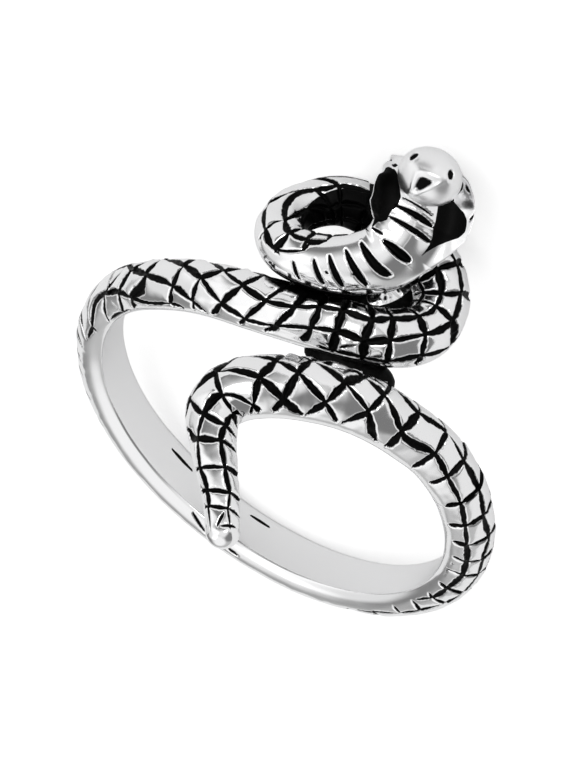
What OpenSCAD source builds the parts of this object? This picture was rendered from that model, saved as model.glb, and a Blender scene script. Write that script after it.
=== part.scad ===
// A one-piece cast ring: a snake wound once round the finger. Its tail hooks forward in front of
// the finger hole, its body closes the band, and its neck coils on top and opens into a hood.
// Lengths are in millimetres. The ring lies on its back as it would rest on a table, with the
// origin at the centre of the finger hole.

/* [Finger hole] */
// Inside diameter of the band
bore_d = 17.3; // [16:0.1:19]

/* [Body] */
// Thickness of the snake, as a share of the cast one
body_share = 1; // [0.94:0.01:1.05]
// Distance along the body from one row of scales to the next
scale_pitch = 0.88; // [0.8:0.01:0.95]
// Height of a scale's face above the grooves round it
scale_relief = 0.13; // [0.06:0.01:0.16]
// Share of a scale's width that its sloping sides take up
scale_slope = 0.26; // [0.15:0.01:0.4]
// Unevenness of the scales, as a share of their size
scale_wander = 0.16; // [0:0.01:0.2]
// Depth of the cross grooves on the belly
belly_groove = 0.2; // [0.05:0.01:0.25]

/* [Head and hood] */
// Half the height of the head
head_r = 1.24; // [1.15:0.01:1.35]
// Length of the head from nape to snout, as a share of its height
head_length = 1.1; // [1:0.01:1.2]
// Width of the head, as a share of its height
head_width = 1.13; // [1:0.01:1.2]
// Depth of the two hollows in the hood, beside the throat
hood_hollow = 0.5; // [0.2:0.01:0.55]
// Distance by which the hood's edges stand forward of its middle
hood_bend = 1.05; // [0.7:0.01:1.15]

/* [Resting pose] */
// Angle by which the head end is raised when the ring lies on its back
rest_pitch = 16.6; // [10:0.1:25]
// Angle by which the ring leans over to its side
rest_lean = -2.2; // [-10:0.1:10]

/* [Hidden] */
bore_r = bore_d / 2;
bore_reach = 3;
bore_clear = 0.05;
hood_pitch = 0.45;

// The snake's centre line from the tail's end to the hood's top, seen with the hole's axis level.
// turn: angle round the finger from the top to the wearer's right. along: distance from the front
// rim towards the back. lift: height above the finger. half: half thickness. wide: half width as
// a share of half. roll: turn of the back of the snake about its own line. scaled: angle that the
// scales reach to each side of the back. curl: how far the edges bend to the belly side.
TURN = 0;
ALONG = 1;
LIFT = 2;
HALF = 3;
WIDE = 4;
ROLL = 5;
SCALED = 6;
CURL = 7;
ROUTE = [
    [22.4, -9.65, 0.90, 0.74, 1.00, 0, 80, 0],
    [17.3, -8.55, 0.98, 0.80, 1.00, 0, 80, 0],
    [11.7, -7.5, 1.08, 0.90, 1.00, 0, 78, 0],
    [5.6, -6.25, 1.15, 1.06, 1.00, 0, 76, 0],
    [2.3, -5.05, 1.31, 1.25, 1.00, 0, 74, 0],
    [5.2, -3.72, 1.43, 1.36, 1.00, 0, 72, 0],
    [14.2, -2.42, 1.45, 1.38, 1.00, 0, 72, 0],
    [28.0, -1.15, 1.41, 1.34, 1.00, 0, 72, 0],
    [44.0, -0.1, 1.04, 1.28, 1.00, 0, 70, 0],
    [61.0, 0.6, 0.88, 1.21, 1.02, 0, 66, 0],
    [90.0, 0.92, 0.70, 1.11, 1.06, 0, 64, 0],
    [135.0, 0.92, 0.67, 1.07, 1.09, 0, 58, 0],
    [180.0, 0.92, 0.70, 1.09, 1.09, 0, 52, 0],
    [225.0, 0.92, 0.70, 1.09, 1.09, 0, 52, 0],
    [270.0, 0.92, 0.61, 1.02, 1.07, 0, 60, 0],
    [300.0, 0.78, 0.62, 1.01, 1.05, 0, 66, 0],
    [320.0, 0.5, 0.75, 1.07, 1.04, 0, 70, 0],
    [336.0, 0.45, 0.93, 1.14, 1.03, 0, 72, 0],
    [352.0, 0.45, 1.18, 1.24, 1.00, 0, 72, 0],
    [366.0, 0.85, 1.32, 1.27, 1.00, 0, 74, 0],
    [379.0, 1.65, 1.36, 1.28, 1.00, 0, 76, 0],
    [388.0, 2.7, 1.36, 1.28, 1.00, 0, 78, 0],
    [392.0, 3.9, 1.36, 1.27, 1.00, 0, 78, 0],
    [391.0, 5.1, 1.40, 1.26, 1.00, 0, 78, 0],
    [386.0, 6.1, 1.50, 1.25, 1.00, 0, 78, 0],
    [377.5, 6.62, 1.60, 1.22, 1.00, 0, 76, 0],
    [366.5, 6.82, 1.58, 1.16, 1.00, -8, 74, 0],
    [356.0, 6.45, 1.70, 1.10, 1.00, -20, 72, 0],
    [350.5, 5.0, 2.15, 1.05, 1.00, -40, 70, 0],
    [351.0, 3.4, 2.65, 1.06, 1.00, -66, 66, 0],
    [357.0, 2.4, 2.98, 1.12, 1.02, -95, 60, 0],
    [366.0, 2.65, 3.16, 1.20, 1.08, -118, 54, 0],
    [373.2, 3.75, 3.65, 1.12, 1.32, -138, 56, 0.10],
    [374.9, 4.8, 4.26, 0.94, 1.85, -152, 60, 0.50],
    [374.4, 5.7, 4.74, 0.78, 2.95, -165, 62, 0.95],
    [373.2, 6.4, 5.05, 0.72, 3.20, -168, 62, 1.05],
    [372.0, 6.95, 5.20, 0.70, 3.00, -168, 62, 0.90],
    [370.9, 7.35, 5.33, 0.62, 3.00, -168, 60, 0.60],
    [369.9, 7.7, 5.45, 0.34, 4.20, -168, 60, 0.35],
];
// Distance from the front rim to the middle of the band
BAND_MIDDLE = 0.92;
BELLY_FROM = 29;
HOOD_FROM = 32;

// Rings of points along the line: each stretch between two rows has as many as its length needs.
LAST = len(ROUTE) - 1;
STEPS = [
    for (k = [0 : LAST - 1])
        max(1, round(norm(spot(k + 1) - spot(k)) / (k < HOOD_FROM ? scale_pitch : hood_pitch)))
];
RINGS = concat([for (k = [0 : LAST - 1]) for (j = [0 : STEPS[k] - 1]) k + j / STEPS[k]], [LAST]);
COUNT = len(RINGS) - 1;

// Points round a ring: the first ACROSS + 1 span the scales, the others the smooth side.
ACROSS = 4;
PLAIN = 8;
AROUND = ACROSS + PLAIN;

WANDER_ALONG = rands(-scale_wander, scale_wander, (COUNT + 1) * AROUND, 7);
WANDER_ROUND = rands(-scale_wander, scale_wander, (COUNT + 1) * AROUND, 11);

// A smooth curve through b and c, with a and d its neighbours
function curve(a, b, c, d, t) =
    (2 * b + (c - a) * t + (2 * a - 5 * b + 4 * c - d) * t * t + (3 * b - a - 3 * c + d) * t * t * t) / 2;

// The route's row at k + t, a blend of the rows round it
function row_at(v) =
    let (k = max(0, min(LAST - 1, floor(v))), t = v - k)
    let (b = ROUTE[k], c = ROUTE[k + 1])
    let (a = k > 0 ? ROUTE[k - 1] : 2 * b - c, d = k < LAST - 1 ? ROUTE[k + 2] : 2 * c - b)
    curve(a, b, c, d, t);

function outward(angle) = [sin(angle), 0, cos(angle)];
function place(row) = (bore_r + row[LIFT]) * outward(row[TURN]) + [0, row[ALONG], 0];
function spot(v) = place(row_at(v));
function unit(p) = p / norm(p);

// The snake's direction, its back and its side at a place on the line
function ahead(v) = unit(spot(v + 0.02) - spot(v - 0.02));
function frame_at(v) =
    let (row = row_at(v), t = ahead(v), out = outward(row[TURN]))
    let (n = unit(out - (out * t) * t), b = cross(t, n))
    let (back = cos(row[ROLL]) * n + sin(row[ROLL]) * b)
    [place(row), back, cross(t, back), row];

// A point of the skin at an angle from the back, sunk by a depth. The section is an ellipse whose
// edges bend to the belly side, and whose belly side is hollowed beside the throat.
function skin(v, angle, sunk) =
    let (f = frame_at(v), row = f[3])
    let (high = body_share * row[HALF] - sunk)
    let (broad = body_share * row[HALF] * row[WIDE] - sunk)
    let (side = broad * sin(angle), bend = hood_bend * pow(sin(angle), 2))
    let (hollow = cos(angle) < 0 ? hood_hollow * pow(sin(2 * angle), 2) : 0)
    f[0] + f[2] * side + f[1] * (high * cos(angle) + row[CURL] * (hollow - bend));

// Row of the route at a fractional ring number
function along_ring(i) =
    let (k = max(0, min(COUNT - 1, floor(i))))
    RINGS[k] + (i - k) * (RINGS[k + 1] - RINGS[k]);

// Angle of a fractional point number on a ring whose scales reach a given angle
function angle_of(j, reach) =
    j <= ACROSS ? reach * (2 * j / ACROSS - 1)
                : reach + (360 - 2 * reach) * (j - ACROSS) / PLAIN;

function is_crossing(i, j) = (i + j) % 2 == 1;
function is_inside(i, j) = i > 0 && i < COUNT && j > 0 && j < ACROSS;

// A scale's corner, moved a little off its regular place
function corner(i, j) =
    let (k = i * AROUND + j, share = 1 - 0.7 * min(1, row_at(RINGS[i])[CURL]))
    is_inside(i, j) ? [i + share * WANDER_ALONG[k], j + share * WANDER_ROUND[k]] : [i, j];

// Cross grooves on the belly side, which keep to the throat between the hollows of the hood
function belly_sunk(i, j) =
    let (from_middle = abs(j - ACROSS - PLAIN / 2), reach = RINGS[i] > HOOD_FROM ? 1 : 2)
    from_middle <= reach && RINGS[i] > BELLY_FROM && i % 2 == 1 ? belly_groove : 0;

// Scales fade out where the hood is thin
function relief_at(v) = scale_relief * (1 - 0.6 * min(1, row_at(v)[CURL]));

function on_skin(at, sunk) =
    let (v = along_ring(at[0]))
    skin(v, angle_of(at[1], row_at(v)[SCALED]), sunk);

LATTICE = [
    for (i = [0 : COUNT]) for (j = [0 : AROUND - 1])
        on_skin(corner(i, j), is_crossing(i, j) && is_inside(i, j) ? relief_at(RINGS[i]) : belly_sunk(i, j))
];

// The scales, each named by its middle, with the four corners round it in turn
SCALES = [for (i = [1 : COUNT - 1]) for (j = [1 : ACROSS - 1]) if (!is_crossing(i, j)) [i, j]];
AROUND_SCALE = [[-1, 0], [0, 1], [1, 0], [0, -1]];
FACE_POINTS = [
    for (s = SCALES) for (step = AROUND_SCALE)
        let (c = corner(s[0] + step[0], s[1] + step[1]))
        on_skin(s + (1 - scale_slope) * (c - s), 0)
];

// Round end of the tail: rings that narrow to a tip
DOME = 3;
TIP_AT = spot(0);
TIP_BACK = -body_share * ROUTE[0][HALF] * ahead(0);
DOME_POINTS = concat(
    [
        for (d = [1 : DOME]) for (j = [0 : AROUND - 1])
            let (angle = 90 * d / (DOME + 1))
            TIP_AT + cos(angle) * (on_skin([0, j], 0) - TIP_AT) + sin(angle) * TIP_BACK
    ],
    [TIP_AT + TIP_BACK]
);

function at_lattice(i, j) = i * AROUND + (j + AROUND) % AROUND;
function at_face(k, n) = (COUNT + 1) * AROUND + 4 * k + n % 4;
function at_dome(d, j) =
    d == 0 ? at_lattice(0, j)
           : (COUNT + d) * AROUND + 4 * len(SCALES) + (d > DOME ? 0 : (j + AROUND) % AROUND);

scale_faces = [
    for (k = [0 : len(SCALES) - 1]) for (n = [0 : 3])
        [at_lattice(SCALES[k][0], SCALES[k][1]), at_face(k, n + 1), at_face(k, n)]
];
scale_sides = [
    for (k = [0 : len(SCALES) - 1]) for (n = [0 : 3])
        let (s = SCALES[k], p = s + AROUND_SCALE[n], q = s + AROUND_SCALE[(n + 1) % 4])
        [at_lattice(q[0], q[1]), at_lattice(p[0], p[1]), at_face(k, n), at_face(k, n + 1)]
];
// Half squares at the rim of the scaled strip and at its ends
function half_square(i, j, near, odd_a, odd_b) =
    is_inside(near[0], near[1]) ? [] :
    [[at_lattice(near[0], near[1]), at_lattice(odd_a[0], odd_a[1]), at_lattice(odd_b[0], odd_b[1])]];
rim_faces = [
    for (i = [0 : COUNT - 1]) for (j = [0 : ACROSS - 1])
        each is_crossing(i, j)
            ? concat(
                half_square(i, j, [i, j + 1], [i, j], [i + 1, j + 1]),
                half_square(i, j, [i + 1, j], [i + 1, j + 1], [i, j]))
            : concat(
                half_square(i, j, [i, j], [i + 1, j], [i, j + 1]),
                half_square(i, j, [i + 1, j + 1], [i, j + 1], [i + 1, j]))
];
plain_faces = [
    for (i = [0 : COUNT - 1]) for (j = [ACROSS : AROUND - 1])
        [at_lattice(i, j), at_lattice(i + 1, j), at_lattice(i + 1, j + 1), at_lattice(i, j + 1)]
];
tail_faces = [
    for (d = [1 : DOME + 1]) for (j = [0 : AROUND - 1])
        d > DOME ? [at_dome(d, j), at_dome(DOME, j), at_dome(DOME, j + 1)]
                 : [at_dome(d, j), at_dome(d - 1, j), at_dome(d - 1, j + 1), at_dome(d, j + 1)]
];
hood_end = [[for (j = [AROUND - 1 : -1 : 0]) at_lattice(COUNT, j)]];

module body() {
    polyhedron(
        points = concat(LATTICE, FACE_POINTS, DOME_POINTS),
        faces = concat(scale_faces, scale_sides, rim_faces, plain_faces, tail_faces, hood_end),
        convexity = 12
    );
}

// Head: a polished ball drawn out a little to the snout, with two slit eyes and a mouth. Its own
// directions are the snout, the left side and the crown.
HEAD_AT = [3.6, 6.79, bore_r + 6.38];
SNOUT = unit([0.17, -0.62, 0.77]);
CROWN = unit(cross(SNOUT, [0.99, 0.08, -0.11]));
LEFT = cross(CROWN, SNOUT);
// Each eye: angles up from the snout and out from the middle, distance from the head's middle as a
// share of head_r, and half its depth, width and height
EYE_UP = 28;
EYE_OUT = 46;
EYE_REACH = 1.08;
EYE_SIZE = [0.12, 0.15, 0.26];
// The mouth: angle below the snout, and half its depth, width and height
MOUTH_DOWN = 14;
MOUTH_SIZE = [0.14, 0.24, 0.33];

module in_head() {
    multmatrix([
        [SNOUT[0], LEFT[0], CROWN[0], HEAD_AT[0]],
        [SNOUT[1], LEFT[1], CROWN[1], HEAD_AT[1]],
        [SNOUT[2], LEFT[2], CROWN[2], HEAD_AT[2]]
    ])
    children();
}

module head() {
    in_head()
    difference() {
        scale([head_length, head_width, 1])
        sphere(head_r, $fn = 36);
        for (s = [-1, 1])
            rotate([0, 0, s * EYE_OUT])
            rotate([0, -EYE_UP, 0])
            translate([head_r * EYE_REACH, 0, 0])
            scale(EYE_SIZE)
            sphere(1, $fn = 12);
        rotate([0, MOUTH_DOWN, 0])
        translate([head_r * head_length, 0, 0])
        scale(MOUTH_SIZE)
        sphere(1, $fn = 12);
    }
}

// Metal left between the tail and the body beside it. turn and along are as in the route, and
// broad is half its width.
BRIDGE = [
    [13, 0.15, 0.5],
    [20, 0.4, 0.85],
    [26, 0.7, 0.9],
    [31.5, 1.0, 0.72],
];
BRIDGE_BROAD = 2;
bridge_high = 0.42;

module bead_on_finger(row) {
    rotate([0, row[TURN], 0])
    translate([0, row[ALONG], bore_r + bore_clear + bridge_high])
    scale([row[BRIDGE_BROAD], row[BRIDGE_BROAD], bridge_high])
    sphere(1, $fn = 16);
}

module bridge() {
    for (k = [0 : len(BRIDGE) - 2])
        hull() {
            bead_on_finger(BRIDGE[k]);
            bead_on_finger(BRIDGE[k + 1]);
        }
}

// Metal left inside the right loop, under the coil
CORE_AT = [14, 4.6];
CORE_SIZE = [2.3, 2.6, 1.2];

module core() {
    difference() {
        rotate([0, CORE_AT[0], 0])
        translate([0, CORE_AT[1], bore_r + bore_clear])
        scale(CORE_SIZE)
        sphere(1, $fn = 24);
        rotate([-90, 0, 0])
        cylinder(h = 40, r = bore_r + bore_clear, center = true, $fn = 120);
    }
}

// The whole ring with the finger hole level, its front rim at zero
module standing() {
    difference() {
        resize([0, 0, 0])
        union() {
            body();
            head();
            bridge();
            core();
        }
        translate([0, -bore_reach, 0])
        rotate([-90, 0, 0])
        cylinder(h = 2 * bore_reach + 2 * BAND_MIDDLE, r = bore_r, $fn = 180);
    }
}

module snake_ring() {
    color("silver")
    rotate([rest_pitch, rest_lean, 0])
    rotate([-90, 0, 0])
    translate([0, -BAND_MIDDLE, 0])
    standing();
}

snake_ring();
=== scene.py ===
from types import SimpleNamespace

import bmesh
import bpy
import numpy as np
from bpy.props import FloatProperty, FloatVectorProperty, PointerProperty
from mathutils import Matrix, Vector


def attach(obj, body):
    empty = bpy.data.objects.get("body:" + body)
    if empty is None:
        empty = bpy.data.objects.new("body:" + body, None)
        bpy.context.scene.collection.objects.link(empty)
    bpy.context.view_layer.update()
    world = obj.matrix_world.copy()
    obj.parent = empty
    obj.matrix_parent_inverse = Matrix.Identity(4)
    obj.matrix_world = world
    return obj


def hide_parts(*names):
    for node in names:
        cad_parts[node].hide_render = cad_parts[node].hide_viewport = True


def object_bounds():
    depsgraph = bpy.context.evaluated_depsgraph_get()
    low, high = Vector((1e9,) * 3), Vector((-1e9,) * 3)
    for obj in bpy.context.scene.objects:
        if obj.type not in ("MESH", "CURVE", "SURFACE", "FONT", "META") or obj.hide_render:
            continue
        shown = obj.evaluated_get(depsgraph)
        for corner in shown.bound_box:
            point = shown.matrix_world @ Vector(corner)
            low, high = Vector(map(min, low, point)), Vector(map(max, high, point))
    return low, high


bl_info = {
    "name": "Snake ring",
    "version": (1, 0, 0),
    "blender": (4, 5, 0),
    "location": "View3D > Sidebar > Snake ring",
    "description": "Dresses the packed snake ring in its engraved scales and its darkened silver",
    "category": "Object",
}

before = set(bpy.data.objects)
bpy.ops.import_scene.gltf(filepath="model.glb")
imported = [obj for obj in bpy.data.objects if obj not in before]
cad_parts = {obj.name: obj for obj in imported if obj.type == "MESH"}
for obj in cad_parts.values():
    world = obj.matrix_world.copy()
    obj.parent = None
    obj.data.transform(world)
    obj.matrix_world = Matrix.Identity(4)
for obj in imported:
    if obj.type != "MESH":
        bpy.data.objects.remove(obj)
CAD_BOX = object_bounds()
NODE = "snake_ring"
MM = 0.001
# Direction along the finger, from the front rim to the back, while the ring is held upright
FINGER = np.array([0, 1, 0])

# The snake's centre line, as in the part's source, in millimetres and degrees. turn: angle round the
# finger from the top to the wearer's right. along: distance from the front rim towards the back.
# lift: height above the finger. half: half thickness. wide: half width as a share of half. roll: turn
# of the back about the line. curl: how far the edges bend to the belly side. A row that stops early
# goes on with what PLAIN has from there: wide 1, roll 0, curl 0.
TURN, ALONG, LIFT, HALF, WIDE, ROLL, CURL = range(7)
PLAIN = [1, 0, 0]
ROUTE = np.array([row + PLAIN[len(row) - WIDE:] for row in [
    [22.4, -9.65, 0.9, 0.74], [17.3, -8.55, 0.98, 0.8], [11.7, -7.5, 1.08, 0.9],
    [5.6, -6.25, 1.15, 1.06], [2.3, -5.05, 1.31, 1.25], [5.2, -3.72, 1.43, 1.36],
    [14.2, -2.42, 1.45, 1.38], [28, -1.15, 1.41, 1.34], [44, -0.1, 1.04, 1.28],
    [61, 0.6, 0.88, 1.21, 1.02], [90, 0.92, 0.7, 1.11, 1.06], [135, 0.92, 0.67, 1.07, 1.09],
    [180, 0.92, 0.7, 1.09, 1.09], [225, 0.92, 0.7, 1.09, 1.09], [270, 0.92, 0.61, 1.02, 1.07],
    [300, 0.78, 0.62, 1.01, 1.05], [320, 0.5, 0.75, 1.07, 1.04], [336, 0.45, 0.93, 1.14, 1.03],
    [352, 0.45, 1.18, 1.24], [366, 0.85, 1.32, 1.27], [379, 1.65, 1.36, 1.28], [388, 2.7, 1.36, 1.28],
    [392, 3.9, 1.36, 1.27], [391, 5.1, 1.4, 1.26], [386, 6.1, 1.5, 1.25], [377.5, 6.62, 1.6, 1.22],
    [366.5, 6.82, 1.58, 1.16, 1, -8], [356, 6.45, 1.7, 1.1, 1, -20], [350.5, 5, 2.15, 1.05, 1, -40],
    [351, 3.4, 2.65, 1.06, 1, -66], [357, 2.4, 2.98, 1.12, 1.02, -95],
    [366, 2.65, 3.16, 1.2, 1.08, -118], [373.2, 3.75, 3.65, 1.12, 1.32, -138, 0.1],
    [374.9, 4.8, 4.26, 0.94, 1.85, -152, 0.5], [374.4, 5.7, 4.74, 0.78, 2.95, -165, 0.95],
    [373.2, 6.4, 5.05, 0.72, 3.2, -168, 1.05], [372, 6.95, 5.2, 0.7, 3, -168, 0.9],
    [370.9, 7.35, 5.33, 0.62, 3, -168, 0.6], [369.9, 7.7, 5.45, 0.34, 4.2, -168, 0.35],
]])
LAST = len(ROUTE) - 1
# Share of a row over which the line's direction is taken, and steps to a row when it is measured
ROW_STEP, ROW_POINTS = 0.02, 60

# How the scales lie along the snake. Two families of cuts cross each other. row: place on the route.
# first, second: how many cuts of each family have passed by there, counted along the back. first_turn,
# second_turn: how many of each lie in a quarter turn round the body. cut: width of the cuts, as a share
# of the usual one. bore_side, far_side: angles from the back at which the cuts end.
PATTERN = np.array([
    [0, -0.9, 0.88, 0.2, 1.32, 0.2, 85, 85], [0.55, 0, 0.88, 0.2, 1.32, 0.9, 85, 85],
    [1.05, 1, 0.88, 0.5, 1.32, 1, 85, 85], [1.92, 2, 0.88, 0.1, 1.32, 1.15, 85, 85],
    [2.6, 3, 0.8, 0.3, 1.32, 1.2, 85, 85], [3.05, 3.9, 0.6, 1.2, 1.32, 1.2, 80, 80],
    [3.5, 4.4, 0.35, 1, 1.32, 1.2, 80, 80], [4.25, 5, -0.25, 0.4, 1.32, 1.2, 80, 80],
    [5.35, 5.8, -1.23, 0.9, 1.32, 1.2, 78, 80], [6.05, 7.05, -2.13, 0.8, 1.32, 1.2, 76, 80],
    [6.72, 8, -2.93, 0.9, 1.32, 1.2, 74, 80], [7.22, 9, -3.75, 0.8, 1.32, 1.2, 72, 80],
    [7.78, 10, -4.6, 0.1, 1.4, 1.2, 74, 80], [8.41, 11, -4.5, 0, 1.45, 1.2, 84, 80],
    [8.91, 12, -4.8, 0, 1.6, 1.2, 80, 80], [9.28, 13, -4.86, 0, 1.8, 1.2, 76, 80],
    [9.64, 14, -5.14, 0, 1.7, 1.2, 90, 80], [9.9, 15, -5.25, 0, 2, 1.15, 88, 80],
    [10.1, 16, -5.5, 0.2, 2.2, 1.1, 90, 80], [10.35, 17.2, -5.75, 0.2, 2.2, 1, 96, 76],
    [10.6, 18.6, -6.1, 0.1, 2.2, 0.9, 96, 72], [10.8, 19.6, -6.6, 0.2, 2.2, 0.85, 100, 66],
    [11.05, 20.8, -6.7, 0.2, 2, 0.8, 92, 62], [11.6, 23.5, -6.7, 0.3, 1.8, 0.7, 60, 56],
    [14, 37, -6.6, 0.9, 1.4, 0.7, 60, 52], [14.5, 39.2, -6.2, 1, 1.35, 0.85, 100, 70],
    [14.85, 40, -5.7, 1, 1.35, 1, 112, 80], [15.46, 41, -5.8, 1.2, 1.35, 1.1, 112, 80],
    [15.72, 42, -6, 1.2, 1.36, 1.1, 100, 80], [16.15, 43, -6.4, 0.1, 1.36, 1.1, 98, 80],
    [16.75, 44, -6.6, 0, 1.6, 1.1, 95, 80], [17.45, 45, -7.6, 0.7, 1.4, 1.1, 92, 80],
    [17.98, 46, -8.2, 0.9, 1.6, 1.1, 96, 80], [18.53, 47, -8.4, 0.9, 1.6, 1.1, 90, 80],
    [18.95, 48, -8.25, 0.7, 1.8, 1.1, 84, 80], [19.25, 49, -8.1, 0.1, 1.9, 1.15, 84, 80],
    [19.6, 50, -7.75, 0, 1.95, 1.2, 84, 80], [20.1, 51, -7.8, 0, 2, 1.2, 84, 80],
    [20.5, 52, -7.6, 0, 2, 1.2, 84, 85], [21.27, 53, -7.25, 0.1, 2, 1.2, 84, 90],
    [22.5, 54, -7.45, 0.6, 2, 1.2, 84, 90], [23.2, 55, -7.6, -0.2, 2, 1.2, 84, 90],
    [24.05, 56, -7.45, 0, 2, 1.2, 84, 90], [25, 57.3, -7.4, 0, 2, 1.1, 84, 88],
    [26.4, 59.1, -7.6, 0, 2.1, 1, 84, 85], [27.3, 60.3, -7.3, -0.8, 2.1, 1.1, 90, 82],
    [27.55, 61.1, -7.35, -1.5, 2, 1.15, 96, 80], [28.05, 61.8, -7.8, -1.7, 1.8, 1.15, 110, 80],
    [28.5, 62, -7.84, -1.2, 1.65, 1.15, 125, 80], [29.3, 62.25, -8, -0.4, 1.65, 1.15, 138, 80],
    [29.68, 62.45, -8.4, -0.3, 1.65, 1.15, 142, 80], [30.05, 63, -8.6, 0.1, 1.65, 1.15, 145, 78],
    [30.5, 63.9, -8.85, 0.1, 1.65, 1.15, 128, 76], [30.7, 64.3, -8.9, 0.1, 1.65, 1.1, 95, 76],
    [31.2, 65.2, -8.9, 0.3, 1.6, 1, 90, 74], [32, 66.6, -8.9, 0.5, 1.5, 1, 76, 72],
    [33, 68.2, -8.9, 0.5, 1.4, 0.9, 66, 66], [37, 72, -8.9, 0.4, 1.4, 0.9, 62, 62],
])
PLACE, FIRST, SECOND, FIRST_TURN, SECOND_TURN, CUT, BORE_SIDE, FAR_SIDE = range(8)
# Length in millimetres over which the counts are evened out, and over which their rates are taken
EVENED, RATE_STEP = 0.5, 0.1
# Half thickness of the body at which its cuts have their full width, and the share of that width which
# they have on the thinnest body
FULL_HALF, LEAST_WIDTH = 1.2, 0.55
# Half width in millimetres below which a cut is left out, and g where there is no cut
THINNEST, NO_CUT = 0.02, 9.0
# Size of a cut's ragged edge, in half widths, and the distance over which it changes
RAGGED, RAGGED_LONG = 0.16, 0.15
# Distance from a cut over which a scale's face is rounded, in millimetres
ROUNDED = 0.16
# Angle from a scale's middle beyond which its face isn't flattened further, in radians, and how far its
# middle is sunk, as a share of the body's half thickness
WIDEST, SUNK = 0.45, 0.04
# Where the scales end: how far that line wanders, and how softly the cuts and the faces end, in radians
RIM_WANDER, RIM_SOFT, FACE_SOFT = 0.1, 0.14, 0.3
# Rows and columns of each table of random values
TABLE_SIDE = 61


def smooth(x):
    """0 below 0, 1 above 1, and 3x^2 - 2x^3 between."""
    x = np.clip(x, 0, 1)
    return x * x * (3 - 2 * x)


def noise(x, y, seed, rounded=True):
    """Random values in -1..1 that change evenly: a seeded square table, blended between whole numbers."""
    values = np.random.default_rng(seed).uniform(-1, 1, (TABLE_SIDE, TABLE_SIDE))
    i, j = np.floor(x).astype(int), np.floor(y).astype(int)
    a, b = x - i, y - j
    if rounded:
        a, b = smooth(a), smooth(b)
    i, j, ii, jj = i % TABLE_SIDE, j % TABLE_SIDE, (i + 1) % TABLE_SIDE, (j + 1) % TABLE_SIDE
    low = values[i, j] * (1 - b) + values[i, jj] * b
    high = values[ii, j] * (1 - b) + values[ii, jj] * b
    return low * (1 - a) + high * a


def drawn(i, j, seed):
    """One random value in 0..1 for each pair of whole numbers."""
    values = np.random.default_rng(seed).uniform(0, 1, (TABLE_SIDE, TABLE_SIDE))
    return values[i.astype(int) % TABLE_SIDE, j.astype(int) % TABLE_SIDE]


def unit(p):
    return p / np.maximum(np.linalg.norm(p, axis=-1, keepdims=True), 1e-12)


def row_at(v):
    """The route's row at v: b and c are the rows beside it, a and d their neighbours, and
    (2b + (c-a)t + (2a-5b+4c-d)t^2 + (3b-a-3c+d)t^3) / 2 runs smoothly through b and c."""
    k = np.clip(np.floor(v).astype(int), 0, LAST - 1)
    t = (v - k)[:, None]
    b, c = ROUTE[k], ROUTE[k + 1]
    a = np.where(k[:, None] > 0, ROUTE[np.maximum(k - 1, 0)], 2 * b - c)
    d = np.where(k[:, None] < LAST - 1, ROUTE[np.minimum(k + 2, LAST)], 2 * c - b)
    return (2 * b + (c - a) * t + (2 * a - 5 * b + 4 * c - d) * t**2 + (3 * b - a - 3 * c + d) * t**3) / 2


def outward(turn):
    turn = np.radians(turn)
    return np.stack([np.sin(turn), 0 * turn, np.cos(turn)], -1)


def place(rows, bore_r):
    """Centre line: the finger's radius plus lift, out from its axis, and along it."""
    out = (bore_r + rows[:, LIFT])[:, None] * outward(rows[:, TURN])
    return out + rows[:, ALONG, None] * FINGER


class Line:
    """The centre line by its length: s in millimetres from the tail's end to the hood's top."""

    def __init__(self, bore_r):
        self.bore_r = bore_r
        self.v = np.linspace(0, LAST, LAST * ROW_POINTS + 1)
        spots = place(row_at(self.v), bore_r)
        self.s = np.concatenate([[0], np.cumsum(np.linalg.norm(np.diff(spots, axis=0), axis=1))])
        self.length = self.s[-1]

    def pattern(self, column, s):
        """A column of PATTERN at the lengths s, evened out over a short way to each side."""
        sides = np.linspace(-EVENED, EVENED, 5)
        at = np.clip(s[:, None] + sides, 0, self.length)
        return np.interp(self.row_of(at), PATTERN[:, PLACE], PATTERN[:, column]).mean(1)[:, None]

    def row_of(self, s):
        return np.interp(s, self.s, self.v)

    def length_at(self, row):
        return float(np.interp(row, self.v, self.s))


def frames(line, s):
    """Centre, direction, back and side of the snake at each length s, and the route's rows there. The
    back leans from straight out by the row's roll, about the direction."""
    v = line.row_of(s)
    rows = row_at(v)
    ahead = place(row_at(np.clip(v + ROW_STEP, 0, LAST)), line.bore_r)
    t = unit(ahead - place(row_at(np.clip(v - ROW_STEP, 0, LAST)), line.bore_r))
    out = outward(rows[:, TURN])
    n = unit(out - np.sum(out * t, 1, keepdims=True) * t)
    b = np.cross(t, n)
    roll = np.radians(rows[:, ROLL])[:, None]
    back = np.cos(roll) * n + np.sin(roll) * b
    return place(rows, line.bore_r), t, back, np.cross(t, back), rows


def skin(line, s, angle, sizes):
    """Plain body at lengths s (n) and angles (n x m, radians from the back): an ellipse whose edges bend
    to the belly side by bend sin^2, and whose belly side is hollowed by hollow sin^2 of twice the angle.
    Past each end it closes like a ball: high and wide fall by half (1 - sqrt(1 - x^2))."""
    inside = np.clip(s, 0, line.length)
    centre, t, back, side, rows = frames(line, inside)
    half = rows[:, HALF]
    past = np.clip((s - inside) / half, -1, 1)
    shrink = np.sqrt(1 - past**2)
    centre = centre + (s - inside)[:, None] * t
    high = (half * shrink)[:, None]
    broad = (half * rows[:, WIDE] - half * (1 - shrink))[:, None]
    curl = (rows[:, CURL] * shrink)[:, None]
    bend = sizes.hood_bend * np.sin(angle) ** 2
    hollow = np.where(np.cos(angle) < 0, sizes.hood_hollow * np.sin(2 * angle) ** 2, 0)
    up = high * np.cos(angle) + curl * (hollow - bend)
    across = broad * np.sin(angle)
    return centre[:, None] + side[:, None] * across[..., None] + back[:, None] * up[..., None]


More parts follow.
